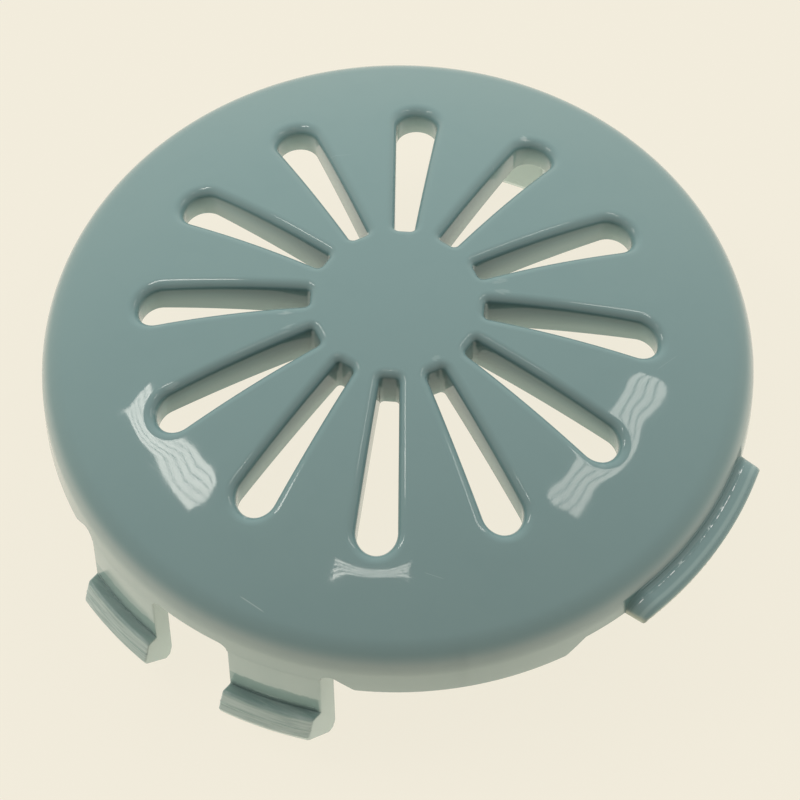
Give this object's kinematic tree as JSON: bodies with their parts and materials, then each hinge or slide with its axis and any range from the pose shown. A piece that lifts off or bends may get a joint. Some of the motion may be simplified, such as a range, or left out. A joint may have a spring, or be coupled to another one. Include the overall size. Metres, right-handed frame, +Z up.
{
  "type": "washing machine pulsator cap",
  "caption": "Domed snap-in cap with a ring of rolled-lip drain slots, hooks below its skirt and one long locating tab, for the middle of a washing machine's pulsator.",
  "frame": {"origin": "on the axis of the cap, level with the feet of the snap hooks", "axes": "+Z up along the axis of the cap, out of the dome; +X through the middle of the locating tab; the hook pairs are on -Y and +Y"},
  "size_m": [0.0927, 0.0946, 0.0337],
  "materials": {
    "cap_plastic": "glossy as moulded, grey with a little blue-green"
  },
  "bodies": {
    "root": {"pulsator_cap": "cap_plastic"}
  },
  "joints": []
}
